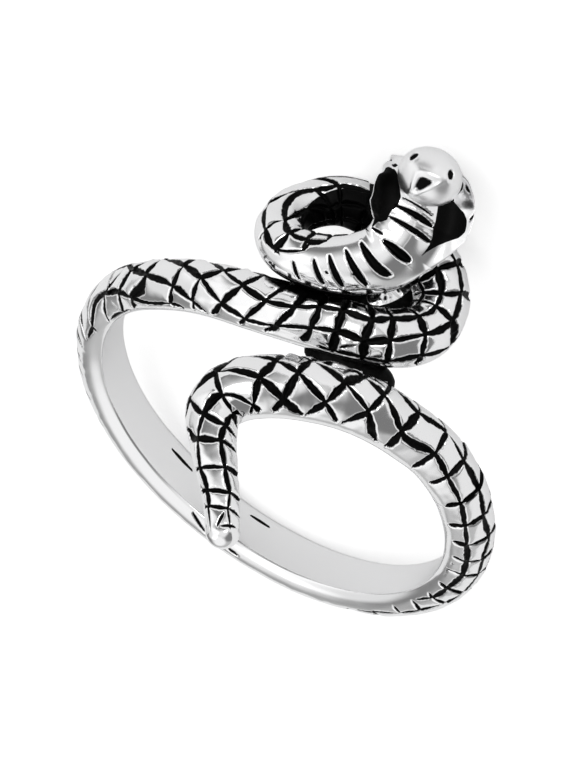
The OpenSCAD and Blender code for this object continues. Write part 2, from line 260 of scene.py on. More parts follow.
def normals(points):
    """Outward normals of a grid that is closed round its second side: the cross product of its two
    directions, each taken between neighbours."""
    along = np.gradient(points, axis=0)
    round_it = (np.roll(points, -1, 1) - np.roll(points, 1, 1)) / 2
    return unit(np.cross(round_it, along))


def lattice_at(line, s, angle):
    """The counts of the two families of cuts over lengths s (n) and angles (n x m, radians): each is the
    count along the back plus its share of a quarter turn times the angle. Then their rates along the
    body, per millimetre, and round it, per radian."""
    inside = np.clip(s, RATE_STEP + EVENED, line.length - RATE_STEP - EVENED)

    def both(columns, s):
        return np.stack([line.pattern(column, s) for column in columns])

    rate = both((FIRST, SECOND), inside + RATE_STEP) - both((FIRST, SECOND), inside - RATE_STEP)
    turned = both((FIRST_TURN, SECOND_TURN), s) * 2 / np.pi
    return both((FIRST, SECOND), s) + turned * angle, rate / (2 * RATE_STEP), turned


def scale_cuts(line, s, angle, sizes):
    """Height and darkness of the engraved scales. The two families of cuts are the whole numbers of
    first(s) + A angle and of second(s) + B angle, moved a little by noise at each crossing. A cut
    is a lens: its half width is W (0.3 + 0.7 sin(pi t)^0.6), with t running from crossing to crossing
    and W drawn for each cut between 0.7 and 1.3 of the usual one. Between cuts each scale is flatter
    than the body, tilted a little, and rounded at its rim. Returns height in millimetres, and g, the
    distance from the nearest cut in half widths."""
    rows = row_at(line.row_of(s))
    count, rate, turned = lattice_at(line, s, angle)
    count = count + sizes.unevenness * np.stack([noise(*count, seed, rounded=False) for seed in (3, 5)])
    radius = rows[:, HALF, None]
    near, cell = np.round(count), np.floor(count)
    away = np.abs(count - near) / np.hypot(rate, turned / radius)

    usual = line.pattern(CUT, s) * (LEAST_WIDTH + (1 - LEAST_WIDTH) * radius / FULL_HALF)
    reach = np.radians(np.where(angle > 0, line.pattern(BORE_SIDE, s), line.pattern(FAR_SIDE, s)))
    rim = reach + RIM_WANDER * noise(cell[0] * 1.7, cell[1] * 1.3, 9)
    fade = 1 - smooth((np.abs(angle) - rim) / RIM_SOFT)

    def width(t, i, j, seed):
        lens = 0.3 + 0.7 * np.sin(np.pi * np.clip(t, 0, 1)) ** 0.6
        own = 0.7 + 0.6 * drawn(i, j, seed)
        return sizes.cut_width / 2 * usual * lens * own * fade

    t = count - cell
    wide = np.stack([width(t[1], near[0], cell[1], 21), width(t[0], cell[0], near[1], 31)])
    ragged = RAGGED * noise(s[:, None] / RAGGED_LONG, angle * radius / RAGGED_LONG, 13)
    g = np.where(wide > THINNEST, away / np.maximum(wide, THINNEST), NO_CUT)
    wide = np.where(g[0] < g[1], *wide)
    g = g.min(0) + ragged
    depth = sizes.cut_depth * np.clip(wide / (sizes.cut_width / 2), 0, 1.2)
    cut = -depth * np.clip(1 - g**2, 0, 1)

    pillow = -sizes.rounding * np.exp(-away.min(0) / ROUNDED) * np.clip(wide / 0.05, 0, 1)
    off = t - 0.5
    turn = (rate[0] * off[1] - rate[1] * off[0]) / (rate[0] * turned[1] - rate[1] * turned[0])
    bow = np.clip(turn, -WIDEST, WIDEST) ** 2 / 2
    flat = sizes.flatness * radius / rows[:, WIDE, None] ** 2 * (bow - SUNK)
    tilt = sizes.tilt * sum((drawn(*cell, seed) - 0.5) * one for seed, one in zip((41, 42), off))
    inside = 1 - smooth((np.abs(angle) - reach + 0.12) / FACE_SOFT)
    return cut + inside * (pillow + flat + tilt), g


# The band's middle, along the finger, which lies at the origin, and the angles at which the ring rests
BAND_MIDDLE = 0.92
REST_PITCH, REST_LEAN = 16.6, -2.2
# Distance from the finger over which the metal is rounded off
BORE_EDGE = 0.05


def to_rest(points):
    """From the ring held upright, in millimetres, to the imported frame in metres: Y goes to -Z, then the
    ring is pitched and leant onto its back as it rests."""
    a, b = np.radians(REST_PITCH), np.radians(REST_LEAN)
    pitch = np.array([[1, 0, 0], [0, np.cos(a), -np.sin(a)], [0, np.sin(a), np.cos(a)]])
    lean = np.array([[np.cos(b), 0, np.sin(b)], [0, 1, 0], [-np.sin(b), 0, np.cos(b)]])
    lie = np.array([[1, 0, 0], [0, 0, 1], [0, -1, 0]])
    return (points - BAND_MIDDLE * FINGER) @ (lean @ pitch @ lie).T * MM


def off_finger(points, bore_r):
    """Keeps the metal outside the finger: a radius r becomes R + (x + sqrt(x^2 + e^2)) / 2, x = r - R."""
    r = np.hypot(points[..., 0], points[..., 2])
    x = r - bore_r
    new = bore_r + (x + np.sqrt(x**2 + BORE_EDGE**2)) / 2
    k = new / np.maximum(r, 1e-9)
    return points * np.stack([k, np.ones_like(k), k], -1)


def angles(reach, fine, coarse):
    """Angles round each ring: fine steps between -reach and reach, then coarse ones round the belly."""
    across = -reach + 2 * reach * np.arange(fine) / fine
    under = reach + (2 * np.pi - 2 * reach) * np.arange(coarse) / coarse
    return np.concatenate([across, under], 1)


def in_scene(name, data):
    made = bpy.data.objects.new(name, data)
    bpy.context.scene.collection.objects.link(made)
    return made


# Distance in metres below which two vertices are one
SAME = 2e-7
# What each vertex holds for the shader: 1 - g, the room beside it in millimetres, and 1 where it is dark
LAYERS = ("cut", "near", "dark")


def solid(name, points, layers, shut=(True, True)):
    """A mesh object from a grid of rings: quads between rings, and a fan to a middle point at each end
    that isn't shut already, where its last ring is drawn together. Vertices that coincide are merged."""
    n, m = points.shape[:2]
    where = points.reshape(-1, 3)
    rings = [k for k, done in zip((0, -1), shut) if not done]
    if rings:
        where = np.concatenate([where, [points[k].mean(0) for k in rings]])
    i, j = np.meshgrid(np.arange(n - 1), np.arange(m), indexing="ij")
    k = (j + 1) % m
    quads = np.stack([i * m + j, i * m + k, (i + 1) * m + k, (i + 1) * m + j], -1).reshape(-1, 4)
    r = np.arange(m)
    fans = []
    for at, k in enumerate(rings):
        ring = (n - 1) * m if k else 0
        fans += np.stack([np.full(m, n * m + at), ring + r, ring + (r + 1) % m], 1).tolist()
    mesh = bpy.data.meshes.new(name)
    mesh.from_pydata(where.tolist(), [], quads.tolist() + fans)
    for layer, values in zip(LAYERS, layers):
        flat = np.concatenate([values.reshape(-1), [values[k].mean() for k in rings]])
        mesh.attributes.new(layer, "FLOAT", "POINT").data.foreach_set("value", flat.astype(np.float32))
    held = bmesh.new()
    held.from_mesh(mesh)
    bmesh.ops.remove_doubles(held, verts=held.verts, dist=SAME)
    bmesh.ops.recalc_face_normals(held, faces=held.faces)
    held.to_mesh(mesh)
    held.free()
    mesh.polygons.foreach_set("use_smooth", np.ones(len(mesh.polygons), bool))
    mesh.update()
    return in_scene(name, mesh)


# The head: its middle across the finger, along it and above it, half its height, and its length, width
# and height as shares of that. Then its three directions.
HEAD_ACROSS, HEAD_ALONG, HEAD_RISE = 3.6, 6.79, 6.38
HEAD_R = 1.24
HEAD_SHAPE = np.array([1.1, 1.13, 1.0])
SNOUT = unit(np.array([0.17, -0.62, 0.77]))
CROWN = unit(np.cross(SNOUT, np.array([0.99, 0.08, -0.11])))
LEFT = np.cross(CROWN, SNOUT)

# Metal between the tail and the body beside it: turn, along and half width, as in the part's source.
# Then half its height, and how far both bits of metal in the crevices stay off the finger.
WEB = np.array([[13, 0.15, 0.5], [20, 0.4, 0.85], [26, 0.7, 0.9], [31.5, 1, 0.72]])
WEB_HIGH, WEB_CLEAR = 0.42, 0.05
# The metal in the right loop: its middle, round the finger and along it, and half its size
CORE_TURN, CORE_ALONG = 14, 4.6
CORE_SIZE = np.array([2.3, 2.6, 1.2])
# The lens-shaped part of that metal which stays bright, seen from the front: the directions across and
# up, then its middle, its slope and half its length and width
CORE_ACROSS, CORE_UP = np.array([0.845, 0.534, 0.0]), np.array([-0.442, 0.699, 0.562])
LENS_MIDDLE, LENS_SLOPE, LENS_LONG, LENS_WIDE = (5.06, 6.93), 30.3, 1.17, 0.56


# The body taken as balls: the distance between them, and the length along the body within which a ball
# doesn't count as beside it. Then the widest gap that is measured.
BALL_STEP, OWN_STRETCH, WIDEST_GAP = 0.4, 5.0, 3.0


def clearance(points, s, line):
    """Distance in millimetres from each point to the nearest other stretch of the snake, taken as balls
    along its line, more than a body's length away along it."""
    near = np.full(points.shape[:2], WIDEST_GAP)
    other = np.arange(0, line.length, BALL_STEP)
    centres, _, _, _, rows = frames(line, other)
    for at, centre, row in zip(other, centres, rows):
        far = np.abs(s - at) > OWN_STRETCH
        if far.any():
            gap = np.linalg.norm(points[far] - centre, axis=-1) - row[HALF]
            near[far] = np.minimum(near[far], gap)
    return np.maximum(near, 0)


# The coil is black inside: the route's row, then the angle from the back below which it is black
COIL_BLACK = np.array([
    [23.8, -90], [25, 0], [26.3, 20], [26.7, 15], [27.3, 8], [27.9, 2], [28.4, -5], [28.9, 4],
    [29.2, 3], [30.2, 55], [30.5, 70], [30.8, 80], [31.1, 88], [32.2, 92], [32.6, 60],
])
# The black hollows of the hood: the route's row, then the angles from the back between which each is
# black, first on the side of the coil and then on the far side
HOOD_BLACK = np.array([
    [32.6, 103, 97, 150, 146], [33, 99, 119, 148, 148], [33.2, 99, 130, 146, 149],
    [33.5, 98, 144, 138, 151], [33.9, 98, 150, 123, 157], [34.2, 98, 155, 112, 158],
    [34.5, 95, 157, 115, 159], [34.9, 90, 158, 124, 159], [35.3, 90, 155, 137, 160],
    [35.5, 92, 153, 137, 160], [36, 96, 149, 122, 158], [36.3, 101, 147, 117, 150],
    [36.7, 108, 144, 118, 135], [37, 113, 140, 130, 130], [37.35, 128, 120, 133, 127],
])

# Degrees over which each black place fades out, and the rows between which the coil's middle is taken
BLACK_SOFT, COIL_FROM, COIL_TO = 5.0, 25, 32


def hollows(out, line, s, angle):
    """How far each point lies in a place that stays black: the coil's inside, which faces its middle,
    and the two hollows of the hood, beside the throat."""
    v = line.row_of(s)
    coil = frames(line, np.linspace(line.length_at(COIL_FROM), line.length_at(COIL_TO), 40))[0].mean(0)
    centre = frames(line, np.clip(s, 0, line.length))[0]
    facing = np.sum(out * unit(coil - centre)[:, None], -1)
    turned = np.degrees(angle)
    edge = np.interp(v, *COIL_BLACK.T)[:, None]
    inside = smooth((edge - turned) / BLACK_SOFT + 0.5) * smooth((facing + 0.1) / 0.2)
    inside = inside * ((v > COIL_BLACK[0, 0]) & (v < COIL_BLACK[-1, 0]))[:, None]
    hood = np.zeros(angle.shape)
    at, *edges = HOOD_BLACK.T
    for hand, sides in ((1, edges[:2]), (-1, edges[2:])):
        least, most = (np.interp(v, at, side)[:, None] for side in sides)
        within = np.minimum(hand * turned - least, most - hand * turned)
        hood = np.maximum(hood, smooth(within / BLACK_SOFT + 0.5))
    return np.maximum(inside, hood * (v > HOOD_BLACK[0, 0])[:, None])


# Cuts outside the scales. Each runs from one place to another, both given as the route's row and the
# angle from the back, and is half as wide as the next column says. The last column is 1 where widths
# are measured along the skin, and 0 where they are measured across the body, as on the flat belly.
# Before them: their depth as a share of that between scales, the half width at which they have it, and
# the most by which a wider one is deeper.
LONE_DEEP, LONE_USUAL, LONE_DEEPEST = 1.2, 0.13, 1.2
LONE_CUTS = np.array([
    [0.03, -30, 0.03, 36, 0.07, 1], [0.2, -50, 0, -75, 0.07, 1], [0.45, -10, 0.02, -40, 0.08, 1],
    [12.31, 208, 12.15, 208, 0.09, 1], [12.31, 102, 12.22, 98, 0.09, 1], [12.61, 123, 12.46, 99, 0.09, 1],
    [12.98, 202, 12.76, 201, 0.09, 1], [29.97, 170, 30.06, 191, 0.05, 0], [30.01, 141, 30.49, 126, 0.09, 1],
    [30.37, 150, 30.54, 196, 0.08, 0], [30.49, 127, 30.56, 102, 0.07, 1], [30.72, 140, 30.99, 199, 0.11, 0],
    [31, 166, 31.06, 174, 0.06, 0], [31.05, 133, 31.3, 208, 0.13, 0], [31.38, 127, 31.71, 215, 0.16, 0],
    [31.45, 178, 31.6, 184, 0.05, 0], [31.73, 121, 32.19, 207, 0.22, 0], [32.67, 145, 32.74, 207, 0.22, 0],
    [32.72, 97, 32.84, 142, 0.09, 0], [33.73, 147, 33.49, 211, 0.13, 0], [34.39, 154, 34.02, 203, 0.14, 0],
    [34.55, 249, 34.8, 259, 0.04, 1], [34.92, 157, 34.34, 199, 0.05, 0], [36.25, 246, 35.8, 251, 0.04, 1],
    [37.35, 139, 37.75, 133, 0.03, 1], [37.9, 97, 37.95, 117, 0.09, 1],
])


def lone_cuts(line, s, angle, sizes):
    """Height and g of the cuts outside the scales, for angles from 0 to a whole turn. x runs along the
    body and y across it. A cut from A to B is a lens: g is the distance from AB over W sqrt(1 - u^2),
    with u running from -1 to 1 between its ends."""
    rows = row_at(line.row_of(np.clip(s, 0, line.length)))
    x = s[:, None] + 0 * angle
    round_it = rows[:, HALF, None] * np.where(angle > 1.75 * np.pi, angle - 2 * np.pi, angle)
    across = -rows[:, HALF, None] * rows[:, WIDE, None] * np.sin(angle)
    belly = np.cos(angle) < 0.1
    g = np.full(angle.shape, NO_CUT)
    cut = np.zeros(angle.shape)
    for row_a, angle_a, row_b, angle_b, wide, on_skin in LONE_CUTS:
        ends = []
        for row, turned in ((row_a, angle_a), (row_b, angle_b)):
            half, wider = row_at(np.array([row]))[0, [HALF, WIDE]]
            turned = np.radians(turned)
            ends.append((line.length_at(row), half * turned if on_skin else -half * wider * np.sin(turned)))
        (ax, ay), (bx, by) = ends
        long = np.hypot(bx - ax, by - ay) / 2
        along_x, along_y = (bx - ax) / long / 2, (by - ay) / long / 2
        off_x, off_y = x - (ax + bx) / 2, (round_it if on_skin else across) - (ay + by) / 2
        u = (off_x * along_x + off_y * along_y) / long
        w = wide * np.sqrt(np.clip(1 - u**2, 0, 1))
        here = np.abs(off_x * along_y - off_y * along_x) / np.maximum(w, 0.004)
        here = np.where((np.abs(u) < 1) & (belly | bool(on_skin)), here, NO_CUT)
        g = np.minimum(g, here)
        deep = LONE_DEEP * sizes.cut_depth * min(wide / LONE_USUAL, LONE_DEEPEST)
        cut = np.minimum(cut, -deep * np.clip(1 - here**2, 0, 1))
    return cut, g


# Where two stretches meet, each runs a step further and dips by these depths, in millimetres
TUCK = np.array([0.004, 0.3])
# Rings that close a round end, and the lengths past it over which the scales and all else fade out
END_RINGS = 14
SCALES_FADE, ALL_FADE = 0.3, 0.6
# Degrees past the scales that are still meshed finely
FINE_PAST = 12
# The cast metal's slow unevenness: height and length. Then the length of its ripple, and the angle from
# the back, in radians, to which that reaches.
SLOW_HIGH, SLOW_LONG = 0.012, 1.3
RIPPLE_LONG, RIPPLE_TO = 0.36, 1.4


def body_piece(name, line, sizes, start, end, fine, coarse, closed):
    """One stretch of the snake between two rows of the route: the plain body moved along its normals by
    the height of the cuts. An open end dips inside the next stretch, so that the join can't be seen."""
    s0, s1, step = line.length_at(start), line.length_at(end), sizes.fineness
    s = np.linspace(s0, s1, int((s1 - s0) / step) + 2)
    quarter = np.linspace(0, np.pi / 2, END_RINGS)
    round_dip = np.zeros(END_RINGS - 1)
    before, first_dip = np.full(2, s0 - step), TUCK[::-1]
    after, last_dip = np.full(2, s1 + step), TUCK
    if closed[0]:
        before, first_dip = -ROUTE[0, HALF] * np.cos(quarter)[:-1], round_dip
    if closed[1]:
        after, last_dip = s1 + ROUTE[-1, HALF] * np.sin(quarter)[1:], round_dip
    dip = np.concatenate([first_dip, np.zeros(len(s)), last_dip])
    s = np.concatenate([before, s, after])
    half = row_at(line.row_of(np.clip(s, 0, line.length)))[:, HALF, None]
    if closed[1]:
        angle = np.tile(2 * np.pi * np.arange(fine + coarse) / (fine + coarse), (len(s), 1))
        angle = np.where(angle > np.pi, angle - 2 * np.pi, angle)
    else:
        angle = angles(np.radians(line.pattern(BORE_SIDE, s) + FINE_PAST), fine, coarse)
    plain = skin(line, s, angle, sizes)
    out = normals(plain)
    turned = (angle + np.pi) % (2 * np.pi) - np.pi
    height, g = scale_cuts(line, s, turned, sizes)
    lone, lone_g = lone_cuts(line, s, angle % (2 * np.pi), sizes)
    past = np.maximum(-s, s - line.length)[:, None]
    ends = 1 - smooth(past / SCALES_FADE)
    height = height * ends + lone + SLOW_HIGH * noise(s[:, None] / SLOW_LONG, turned * 1.1, 51)
    scaled = 1 - smooth((np.abs(turned) - RIPPLE_TO) / 0.3)
    height += sizes.ripple * scaled * noise(s[:, None] / RIPPLE_LONG, turned * half / RIPPLE_LONG, 53)
    height = height * (1 - smooth(past / ALL_FADE)) - dip[:, None]
    g = np.minimum(np.where(ends > 0.5, g, NO_CUT), lone_g)
    points = off_finger(plain + out * height[..., None], line.bore_r)
    layers = np.clip(1 - g, -1, 1), clearance(plain, s, line), hollows(out, line, s, turned)
    return solid(name, to_rest(points), layers, closed)


def ball_grid(across, around):
    """Directions over a ball: polar angle from the crown down, then turn from the snout to the left."""
    down = np.linspace(0, np.pi, across)[:, None]
    turn = (2 * np.pi * np.arange(around) / around)[None]
    return np.stack([np.sin(down) * np.cos(turn), np.sin(down) * np.sin(turn), np.cos(down) + 0 * turn], -1)


# Each eye: degrees up and out from the snout, half its height and width, its depth, and its raised rim
EYE_UP, EYE_OUT = 28, 46
EYE_HIGH, EYE_WIDE = 0.25, 0.16
EYE_DEEP, EYE_RIM = 0.1, 0.02
# The mouth: degrees down from the snout, half its height, half its width at top and foot, how far it
# leans to the snake's right for its height, its depth, and the height of the lips
MOUTH_DOWN = 14
MOUTH_HALF_HIGH, MOUTH_TOP, MOUTH_FOOT, MOUTH_LEAN = 0.38, 0.33, 0.12, 0.35
MOUTH_DEEP, LIP_HIGH = 0.14, 0.045


def off_axis(d, up, out):
    """Tangent coordinates, to the left and upwards, of the directions d about one that is turned out to
    the left and up from the snout, and how much they face it."""
    up, out = np.radians(up), np.radians(out)
    axis = np.array([np.cos(up) * np.cos(out), np.cos(up) * np.sin(out), np.sin(up)])
    left = np.array([-np.sin(out), np.cos(out), 0])
    return d @ left, d @ np.cross(axis, left), d @ axis


def head_piece(sizes):
    """The head: a ball drawn out to the snout. g is 1 on the rim of each eye and of the mouth. An eye is
    sunk by D (1 - g^2) with a rim E exp(-((g - 1.5) / 0.4)^2). The mouth has a flat floor with smooth
    sides, and lips L exp(-((g - 1.5) / 0.35)^2)."""
    d = ball_grid(*HEAD_GRID)
    height = np.zeros(d.shape[:2])
    g = np.full(d.shape[:2], NO_CUT)
    for hand in (1, -1):
        x, y, front = off_axis(d, EYE_UP, hand * EYE_OUT)
        eye = np.where(front > 0, np.hypot(x * HEAD_R / EYE_WIDE, y * HEAD_R / EYE_HIGH), NO_CUT)
        height -= EYE_DEEP * np.clip(1 - eye**2, 0, 1)
        height += EYE_RIM * np.exp(-(((eye - 1.5) / 0.4) ** 2))
        g = np.minimum(g, eye)
    x, y, front = off_axis(d, -MOUTH_DOWN, 0)
    y = y * HEAD_R
    x = x * HEAD_R - MOUTH_LEAN * y
    half = MOUTH_FOOT + (MOUTH_TOP - MOUTH_FOOT) * np.clip((y / MOUTH_HALF_HIGH + 1) / 2, 0, 1.3)
    mouth = np.where(front > 0, ((x / half) ** 4 + (y / MOUTH_HALF_HIGH) ** 4) ** 0.25, NO_CUT)
    height -= MOUTH_DEEP * smooth((1.05 - mouth) / 0.35)
    height += LIP_HIGH * np.exp(-(((mouth - 1.5) / 0.35) ** 2))
    g = np.minimum(g, mouth)
    points = d * HEAD_SHAPE * HEAD_R + d * height[..., None]
    middle = np.array([HEAD_ACROSS, HEAD_ALONG, sizes.bore / 2 + HEAD_RISE])
    turned = points[..., :1] * SNOUT + points[..., 1:2] * LEFT + points[..., 2:] * CROWN + middle
    return solid("snake_head", to_rest(turned), (np.clip(1 - g, -1, 1), 0 * g + WIDEST_GAP, 0 * g))


# Rings of the web, how many of them close each end, and points on each ring
WEB_RINGS, WEB_END, WEB_AROUND = 60, 12, 64
# Grids of the two balls: rings and points on each
HEAD_GRID, CORE_GRID = (260, 320), (120, 180)
# Height of the roughness of the web, in millimetres, and of the core, as a share of its size
WEB_ROUGH, CORE_ROUGH = 0.03, 0.02


def web_piece(sizes):
    """The metal in the crevice between tail and body: an ellipse carried along the web's path over the
    finger, with round ends."""
    bore_r = sizes.bore / 2
    t = np.linspace(0, len(WEB) - 1, WEB_RINGS)
    turn, along, half = (np.interp(t, np.arange(len(WEB)), WEB[:, k]) for k in range(3))
    up = outward(turn)
    path = (bore_r + WEB_CLEAR + WEB_HIGH) * up + along[:, None] * FINGER
    ahead = unit(np.gradient(path, axis=0))
    side = unit(np.cross(ahead, up))
    rise = np.linspace(0, 1, WEB_END, endpoint=False)
    ends = np.concatenate([rise, np.ones(WEB_RINGS - 2 * WEB_END), np.linspace(1, 0, WEB_END)])
    shrink = np.sqrt(1 - (1 - ends) ** 2)
    angle = 2 * np.pi * np.arange(WEB_AROUND) / WEB_AROUND
    across = (shrink * half)[:, None] * np.sin(angle)
    high = (shrink * WEB_HIGH)[:, None] * np.cos(angle)
    reach = ((1 - ends) * half * np.where(t < t.mean(), -1, 1))[:, None]
    points = (path + ahead * reach)[:, None] + side[:, None] * across[..., None]
    points = points + up[:, None] * high[..., None]
    rough = WEB_ROUGH * noise(points[..., 0] * 5, points[..., 1] * 5, 61)
    points = off_finger(points + up[:, None] * rough[..., None], bore_r)
    ones = np.ones(points.shape[:2])
    return solid("crevice_web", to_rest(points), (-ones, 0 * ones, ones))


def core_piece(sizes):
    """The metal inside the right loop, under the coil: a flattened ball, black apart from its lens."""
    bore_r = sizes.bore / 2
    d = ball_grid(*CORE_GRID)
    out, aside = outward(CORE_TURN), outward(CORE_TURN + 90)
    middle = out * (bore_r + WEB_CLEAR) + CORE_ALONG * FINGER
    rough = 1 + CORE_ROUGH * noise(d[..., 0] * 14, d[..., 1] * 14, 63)
    p = d * CORE_SIZE * rough[..., None]
    points = middle + p[..., :1] * aside + p[..., 1:2] * FINGER + p[..., 2:] * out
    x, y = points @ CORE_ACROSS - LENS_MIDDLE[0], points @ CORE_UP - LENS_MIDDLE[1]
    slope = np.radians(LENS_SLOPE)
    along, across = x * np.cos(slope) + y * np.sin(slope), y * np.cos(slope) - x * np.sin(slope)
    bright = smooth((1 - np.hypot(along / LENS_LONG, across / LENS_WIDE)) / 0.25 + 0.5)
    bright *= (points - middle) @ np.cross(CORE_ACROSS, CORE_UP) > 0
    layers = 0 * bright - 1, WIDEST_GAP * bright, 1 - bright
    return solid("loop_core", to_rest(off_finger(points, bore_r)), layers)


# What one of each unit is worth to the user: a length is given in millimetres
UNITS = {"LENGTH": MM, "CAMERA": 1, "POWER": 1, "NONE": 1}


def amount(name, description, default, unit="LENGTH"):
    """An amount for the user to change."""
    return FloatProperty(name=name, description=description, default=default * UNITS[unit], unit=unit)


def share(name, description, default):
    """A share for the user to change, where 1 is the whole."""
    return FloatProperty(
        name=name, description=description, default=default, soft_min=0, soft_max=1, subtype="FACTOR"
    )


def triple(name, description, default, subtype="COLOR"):
    return FloatVectorProperty(name=name, description=description, default=default, subtype=subtype)


class SnakeSizes(bpy.types.PropertyGroup):
    bore: amount("Finger hole", "Inside diameter of the band", 17.3)
    cut_width: amount("Cut width", "Greatest width of a cut between scales", 0.3)
    cut_depth: amount("Cut depth", "Depth of a cut between scales", 0.13)
    rounding: amount("Rounding", "Fall of a scale's face towards its cuts", 0.05)
    flatness: share("Flatness", "Share of the body's roundness that is filed off each scale", 0.6)
    tilt: amount("Tilt", "Unevenness of the scales' faces", 0.12)
    unevenness: share("Unevenness", "Wandering of the crossings, as a share of a scale", 0.14)
    ripple: amount("Ripple", "Height of the casting's fine unevenness", 0.009)
    hood_hollow: amount("Hood hollow", "Depth of the hood's two hollows", 0.5)
    hood_bend: amount("Hood bend", "Distance by which the hood's edges stand forward", 1.05)
    fineness: amount("Fineness", "Distance between rings of the mesh", 0.055)


class SnakeColours(bpy.types.PropertyGroup):
    silver: triple("Silver", "Colour of the polished silver", (0.93, 0.93, 0.935))
    oxide: triple("Oxide", "Colour of the blackened silver in the cuts", (0.006, 0.006, 0.006))
    floor: triple("Floor", "Colour of the floor", (0.92, 0.92, 0.92))


def plain_sizes(context):
    """The user's sizes as plain numbers, with every length in millimetres."""
    group = context.scene.snake_sizes
    return SimpleNamespace(**{
        key: getattr(group, key) / UNITS[group.bl_rna.properties[key].unit] for key in group.__annotations__
    })


def empty_tree(owner):
    """The node tree of a material or a world, emptied."""
    owner.use_nodes = True
    owner.node_tree.nodes.clear()
    return owner.node_tree


def node(tree, kind, **values):
    """A shader node with its plain properties set, and its inputs by socket name or number."""
    made = tree.nodes.new("ShaderNode" + kind)
    for key, value in values.items():
        if key == "inputs":
            for socket, given in value.items():
                if isinstance(given, bpy.types.NodeSocket):
                    tree.links.new(given, made.inputs[socket])
                else:
                    made.inputs[socket].default_value = given
        else:
            setattr(made, key, value)
    return made


def maths(tree, operation, *inputs):
    return node(tree, "Math", operation=operation, inputs=dict(enumerate(inputs))).outputs[0]


def smooth_step(tree, value, low, high, top=1):
    """0 where the value is below low, the top where it is above high, and smooth between."""
    return node(tree, "MapRange", interpolation_type="SMOOTHSTEP", inputs={
        "Value": value, "From Min": low, "From Max": high, "To Min": 0, "To Max": top,
    }).outputs["Result"]


# A Mix node's sockets for numbers and for colours
MIX_LOW, MIX_HIGH = 2, 3
MIX_A, MIX_B, MIX_OUT = 6, 7, 2


def shader_group(name, inputs, outputs, fill):
    """The shader node group of that name, which the function fill makes when it is first asked for."""
    tree = bpy.data.node_groups.get(name)
    if tree is None:
        tree = bpy.data.node_groups.new(name, "ShaderNodeTree")
        for socket, default in inputs:
            made = tree.interface.new_socket(socket, in_out="INPUT", socket_type="NodeSocketFloat")
            made.default_value = default
        for socket in outputs:
            tree.interface.new_socket(socket, in_out="OUTPUT", socket_type="NodeSocketFloat")
        spot = node(tree, "TexCoord").outputs["Object"]
        given, out = tree.nodes.new("NodeGroupInput").outputs, tree.nodes.new("NodeGroupOutput").inputs
        fill(tree, given, spot, out)
    return tree


def fill_oxide(tree, given, spot, out):
    """Where the silver is black: in the cuts, in crevices narrower than a polishing wheel reaches, and in
    the hollows marked dark. A fine noise makes the rims of the black uneven."""
    grain = node(tree, "TexNoise", inputs={
        "Vector": spot, "Scale": given["Grain"], "Detail": 3, "Roughness": 0.6,
    })
    shift = maths(tree, "SUBTRACT", grain.outputs[0], 0.5)

    def band(value, low, high, amount):
        return smooth_step(tree, maths(tree, "MULTIPLY_ADD", shift, amount, value), low, high)

    cut = band(given["Cut"], 0.02, 0.22, 0.35)
    wheel = maths(tree, "MULTIPLY", given["Reach"], 1.35)
    near = maths(tree, "SUBTRACT", 1, band(given["Near"], given["Reach"], wheel, 0.25))
    dark = band(given["Dark"], 0.42, 0.58, 0.3)
    tree.links.new(maths(tree, "MAXIMUM", maths(tree, "MAXIMUM", cut, near), dark), out["Mask"])


def fill_polish(tree, given, spot, out):
    """What polishing leaves: faint patches of roughness, and fine scratches as a height."""
    patches = node(tree, "TexNoise", inputs={"Vector": spot, "Scale": 420, "Detail": 4})
    rough = node(tree, "MapRange", inputs={
        "Value": patches.outputs[0], "From Min": 0.3, "From Max": 0.7,
        "To Min": given["Low"], "To Max": given["High"],
    })
    streak = node(tree, "Mapping", inputs={
        "Vector": spot, "Rotation": (0.5, 0.3, 0.8), "Scale": (1, 9, 1),
    })
    scratches = node(tree, "TexNoise", inputs={"Vector": streak.outputs[0], "Scale": 1500, "Detail": 5})
    tree.links.new(rough.outputs["Result"], out["Roughness"])
    tree.links.new(scratches.outputs[0], out["Height"])


# Shader node groups: name, inputs with their defaults, outputs, and what fills them. Near and Reach are
# in millimetres, and Grain is in grains to the metre.
OXIDE = (
    "oxide in cuts",
    (("Cut", -1), ("Near", WIDEST_GAP), ("Dark", 0), ("Reach", 0.38), ("Grain", 5200)),
    ("Mask",),
    fill_oxide,
)
# Least and greatest roughness of the body, and of the head
POLISHED, SATIN = {"Low": 0.08, "High": 0.2}, {"Low": 0.3, "High": 0.36}
POLISH = ("polished metal", POLISHED.items(), ("Roughness", "Height"), fill_polish)
OXIDE_ROUGHNESS = 0.5


def silver_material(colours, name="oxidised silver", roughness=POLISHED):
    """Silver of the roughness given, blackened in its cuts and crevices."""
    made = bpy.data.materials.get(name)
    if made:
        return made
    made = bpy.data.materials.new(name)
    tree = empty_tree(made)
    layers = {layer.title(): node(tree, "Attribute", attribute_name=layer).outputs["Fac"] for layer in LAYERS}
    mask = node(tree, "Group", node_tree=shader_group(*OXIDE), inputs=layers).outputs["Mask"]
    polish = node(tree, "Group", node_tree=shader_group(*POLISH), inputs=roughness)
    paint = node(tree, "Mix", data_type="RGBA", inputs={
        0: mask, MIX_A: (*colours.silver, 1), MIX_B: (*colours.oxide, 1),
    })
    rough = node(tree, "Mix", data_type="FLOAT", inputs={
        0: mask, MIX_LOW: polish.outputs["Roughness"], MIX_HIGH: OXIDE_ROUGHNESS,
    })
    bump = node(tree, "Bump", inputs={
        "Strength": 0.03, "Distance": 0.02 * MM, "Height": polish.outputs["Height"],
    })
    shader = node(tree, "BsdfPrincipled", inputs={
        "Metallic": 1, "Base Color": paint.outputs[MIX_OUT], "Roughness": rough.outputs[0],
        "Normal": bump.outputs["Normal"],
    })
    node(tree, "OutputMaterial", inputs={"Surface": shader.outputs[0]})
    return made


def dress(piece, material):
    piece.data.materials.append(material)
    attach(piece, "root")
    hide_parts(NODE)


